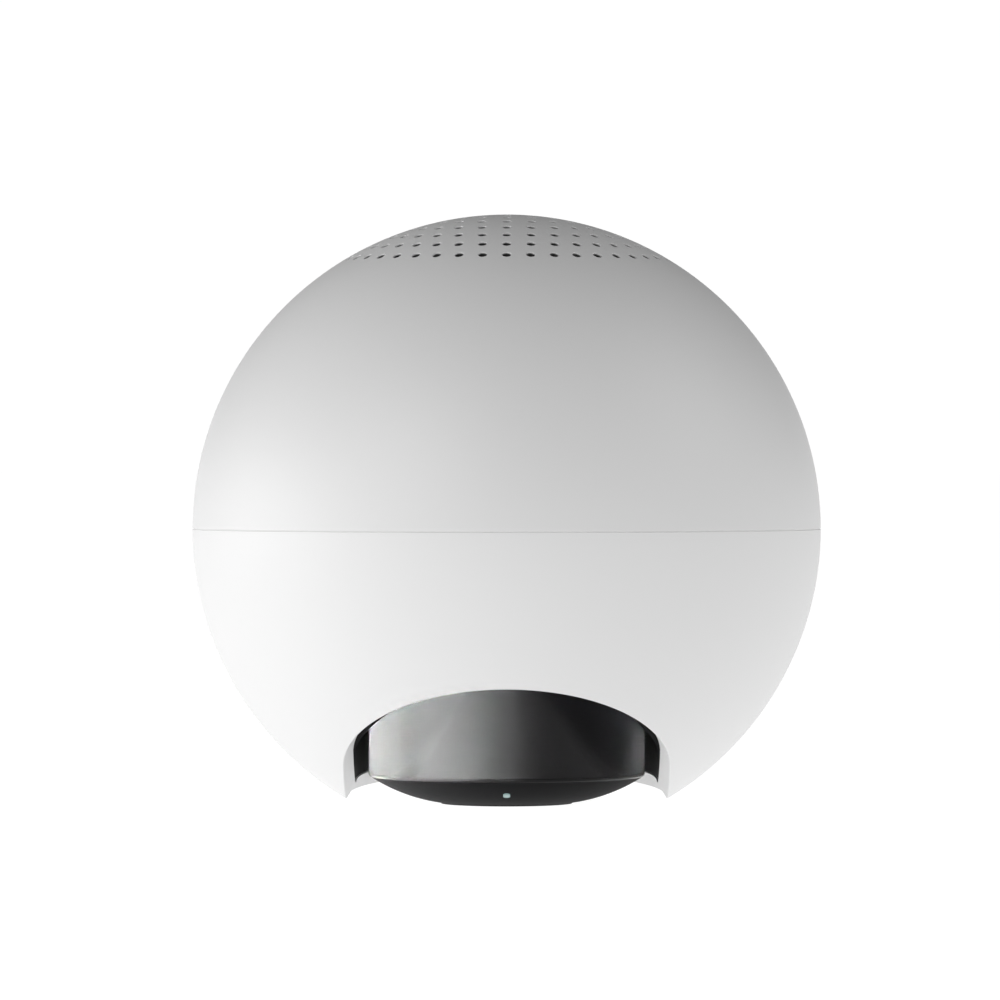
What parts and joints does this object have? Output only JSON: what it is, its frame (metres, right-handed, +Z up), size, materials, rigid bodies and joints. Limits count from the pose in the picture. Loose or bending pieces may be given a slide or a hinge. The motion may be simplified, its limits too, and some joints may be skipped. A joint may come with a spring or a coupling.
{
  "type": "smart speaker",
  "caption": "Ball-shaped smart speaker with drilled crown, upward driver and a deep front mouth that shows its gloss black pedestal and status light.",
  "frame": {"origin": "middle of the flat rubber foot, on the table", "axes": "+Z up through the ball's centre; the mouth and status light face -Y; the rear bay with the power socket faces +Y; +X to the right seen from the front"},
  "size_m": [0.1, 0.1, 0.0937],
  "materials": {
    "shell_white": "fine satin moulded white plastic",
    "well_black": "matt black moulded plastic",
    "gloss_black": "polished black plastic",
    "bay_plastic": "fine-textured dark plastic",
    "mesh_cloth": "woven acoustic cloth",
    "baffle_plastic": "glass-filled plastic",
    "gasket_foam": "closed-cell foam",
    "basket_steel": "black painted pressed steel",
    "zinc_steel": "bright zinc plate",
    "magnet_ferrite": "sintered ferrite",
    "screw_steel": "nickel-plated",
    "roll_rubber": "soft matt rubber",
    "spider_cloth": "resin-stiffened cloth",
    "cone_paper": "pressed paper pulp",
    "coil_copper": "enamelled copper wire",
    "board_green": "solder mask",
    "mic_gold": "plated can",
    "chip_black": "moulded epoxy",
    "button_grey": "satin grey plastic",
    "slider_orange": "satin orange plastic",
    "foot_rubber": "matt silicone rubber",
    "led_white": "diffusing resin",
    "lens_teal": "lit teal light guide"
  },
  "bodies": {
    "housing": {"top_shell": "shell_white", "dust_mesh": "mesh_cloth", "bottom_shell": "shell_white", "baffle": "baffle_plastic", "baffle_screws": "screw_steel", "driver_gasket": "gasket_foam", "driver_basket": "basket_steel", "driver_plate": "zinc_steel", "driver_magnet": "magnet_ferrite", "driver_yoke": "zinc_steel", "driver_screws": "screw_steel", "mic_board": "board_green", "mic_capsules": "mic_gold", "well_liner": "well_black", "liner_screws": "screw_steel", "main_board": "board_green", "board_screws": "screw_steel", "processor_shield": "zinc_steel", "board_chips": "chip_black", "usb_socket": "zinc_steel", "port_bezel": "bay_plastic", "button_switch": "chip_black", "mute_switch": "chip_black", "base_drum": "gloss_black", "drum_screws": "screw_steel", "base_dish": "gloss_black", "led_board": "board_green", "led_chip": "led_white", "led_lens": "lens_teal", "foot_pad": "foot_rubber"},
    "diaphragm": {"driver_cone": "cone_paper", "dust_cap": "cone_paper", "voice_coil": "coil_copper", "surround": "roll_rubber", "spider": "spider_cloth"},
    "button": {"setup_button": "button_grey"},
    "slider": {"mute_slider": "slider_orange"}
  },
  "joints": [
    {"name": "cone_travel", "type": "slide", "parent": "housing", "child": "diaphragm", "axis": [0, 0, 1], "range_m": [-0.0012, 0.0012], "stiffness_N_per_m": 1200, "deforming": ["surround", "spider"]},
    {"name": "button_press", "type": "slide", "parent": "housing", "child": "button", "axis": [0, -1, 0], "range_m": [0, 0.0004], "stiffness_N_per_m": 500},
    {"name": "slider_throw", "type": "slide", "parent": "housing", "child": "slider", "axis": [1, 0, 0], "range_m": [0, 0.002]}
  ]
}
